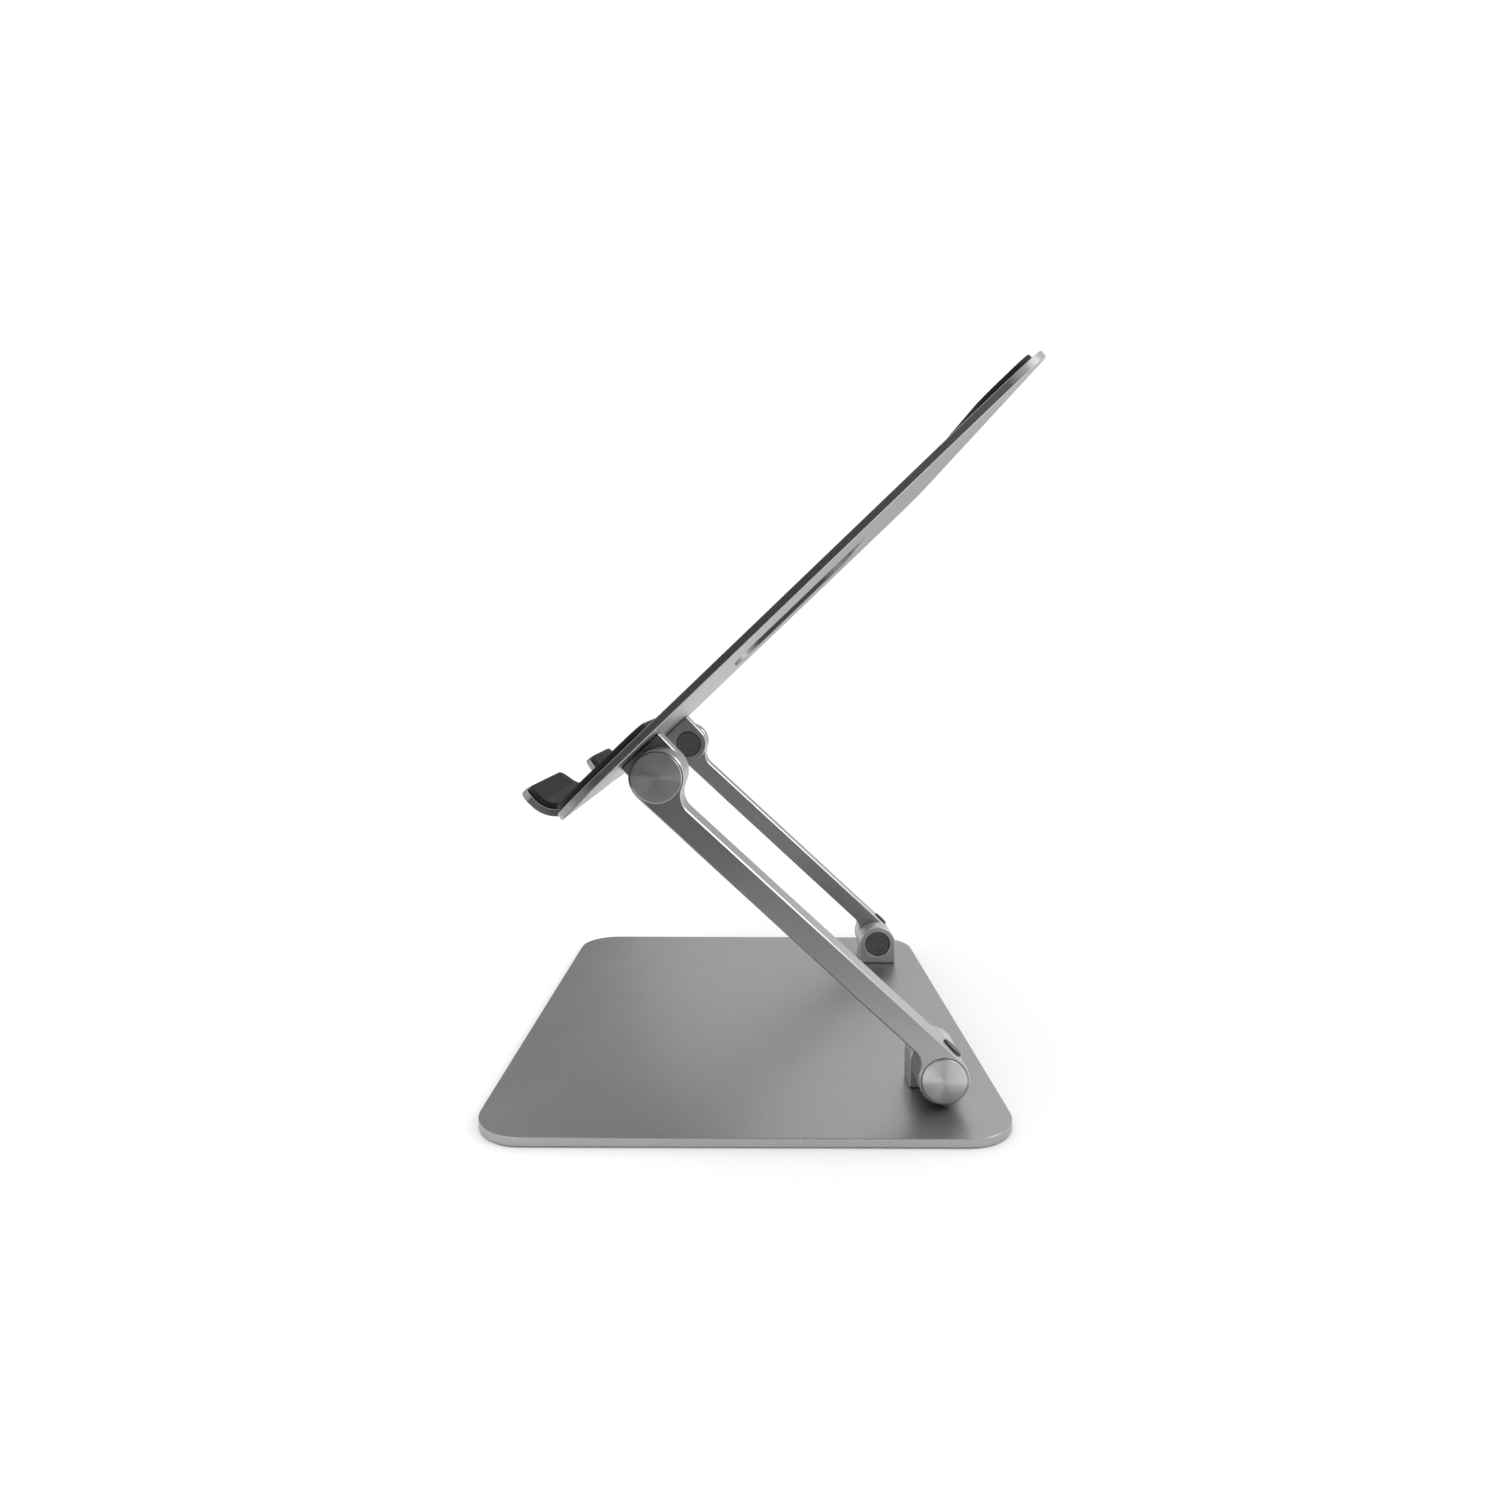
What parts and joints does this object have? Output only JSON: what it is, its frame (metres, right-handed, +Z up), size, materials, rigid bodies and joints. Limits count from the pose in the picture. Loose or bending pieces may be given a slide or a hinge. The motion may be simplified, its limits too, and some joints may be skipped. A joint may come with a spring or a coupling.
{
  "type": "tablet stand",
  "caption": "Folding desk stand with a flat rounded base, side arms on friction hinges and a tilting tray whose padded hooked lips hold a tablet.",
  "frame": {"origin": "centre of the underside of the base pad, on the table", "axes": "+Z up; +X along the hinge axes, to the right of a person facing the tray; +Y to the back, where the arms are hinged to the base"},
  "size_m": [0.25, 0.2029, 0.2795],
  "materials": {
    "anodised": "fine bead-blasted, anodised silver grey",
    "spun": "radially spun",
    "steel": "plain",
    "spring_steel": "dark, oiled",
    "acetal": "smooth, pale",
    "silicone": "matt, very fine grain",
    "base_rubber": "matt",
    "bumper_rubber": "smooth",
    "plug_plastic": "fine matt"
  },
  "bodies": {
    "base": {"base_plate": "anodised", "base_pad": "base_rubber", "bracket_left": "anodised", "bracket_right": "anodised", "base_screw_left_front": "steel", "base_screw_left_rear": "steel", "base_screw_right_front": "steel", "base_screw_right_rear": "steel", "lower_bolt_left": "steel", "lower_bolt_right": "steel", "lower_nut_left": "steel", "lower_nut_right": "steel", "lower_spring_washer_left": "spring_steel", "lower_spring_washer_right": "spring_steel", "lower_plug_left": "plug_plastic", "lower_plug_right": "plug_plastic"},
    "arms": {"arm_left": "anodised", "arm_right": "anodised", "bumper_left": "bumper_rubber", "bumper_right": "bumper_rubber", "lower_inner_washer_left": "acetal", "lower_inner_washer_right": "acetal", "lower_outer_washer_left": "acetal", "lower_outer_washer_right": "acetal", "lower_cap_left": "spun", "lower_cap_right": "spun", "upper_inner_washer_left": "acetal", "upper_inner_washer_right": "acetal", "upper_outer_washer_left": "acetal", "upper_outer_washer_right": "acetal", "upper_cap_left": "spun", "upper_cap_right": "spun"},
    "tray_pins": {"upper_bolt_left": "steel", "upper_bolt_right": "steel", "upper_spring_washer_left": "spring_steel", "upper_spring_washer_right": "spring_steel", "upper_nut_left": "steel", "upper_nut_right": "steel"},
    "tray": {"tray_panel": "anodised", "ear_left": "anodised", "ear_right": "anodised", "ear_screw_left_front": "steel", "ear_screw_left_rear": "steel", "ear_screw_right_front": "steel", "ear_screw_right_rear": "steel", "upper_plug_left": "plug_plastic", "upper_plug_right": "plug_plastic", "grip_pad_left": "silicone", "grip_pad_right": "silicone", "head_pad_left": "silicone", "head_pad_right": "silicone"}
  },
  "joints": [
    {"name": "arm_fold", "type": "hinge", "parent": "base", "child": "arms", "pos_m": [0, 0.0754, 0.0149], "axis": [1, 0, 0], "range_deg": [-37.4, 46.6]},
    {"name": "tray_fold", "type": "hinge", "parent": "arms", "child": "tray_pins", "pos_m": [0, -0.0333, 0.12984], "axis": [1, 0, 0], "range_deg": [-80.5, 64.6]},
    {"name": "tray_tilt", "type": "hinge", "parent": "tray_pins", "child": "tray", "pos_m": [0, -0.0333, 0.12984], "axis": [1, 0, 0], "range_deg": [-10, 22]}
  ],
  "couplings": [
    {"joint": "tray_fold", "follows": "arm_fold", "ratio": -1.7264}
  ]
}
